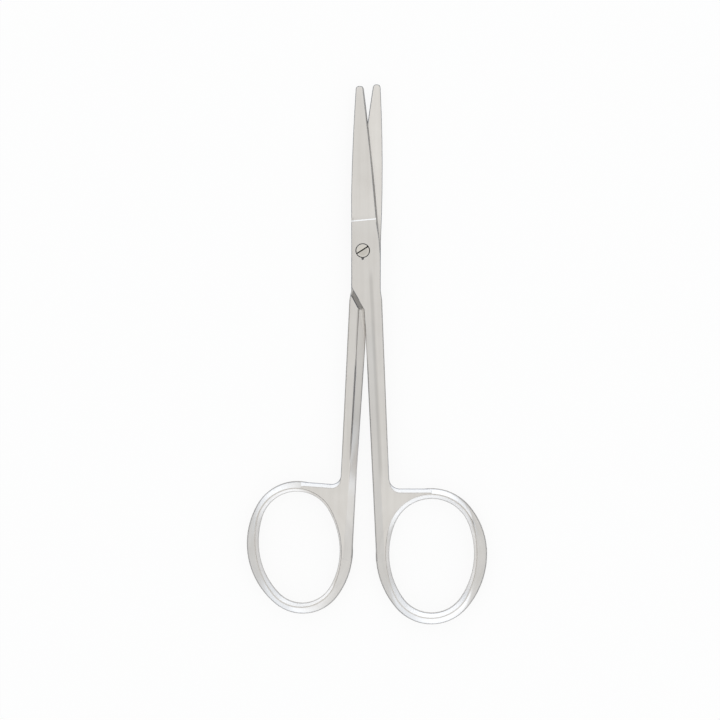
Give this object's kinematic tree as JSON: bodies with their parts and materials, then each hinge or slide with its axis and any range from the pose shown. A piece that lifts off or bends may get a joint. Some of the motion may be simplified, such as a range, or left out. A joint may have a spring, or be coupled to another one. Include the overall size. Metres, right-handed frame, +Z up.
{
  "type": "iris scissors",
  "caption": "Slim fine-bladed scissors with straight blunt-tipped blades, a slotted pivot screw, tapering ridged shanks and bevelled oval finger rings.",
  "frame": {"origin": "on the pivot axis, at the flat outer face of the back half that the scissors lie on", "axes": "+Y from the pivot towards the blade tips, +Z up along the pivot screw towards its slotted head, +X towards the front half's finger ring"},
  "size_m": [0.051, 0.1146, 0.0035],
  "materials": {
    "half_steel": "satin stainless steel with fine brushed grain, brighter polished bevels",
    "screw_steel": "turned stainless steel, satin"
  },
  "bodies": {
    "back": {"back_half": "half_steel", "pivot_screw": "screw_steel"},
    "front": {"front_half": "half_steel"}
  },
  "joints": [
    {"name": "pivot", "type": "hinge", "parent": "back", "child": "front", "pos_m": [0, 0, 0.0018], "axis": [0, 0, 1], "range_deg": [-3.3, 130]}
  ]
}
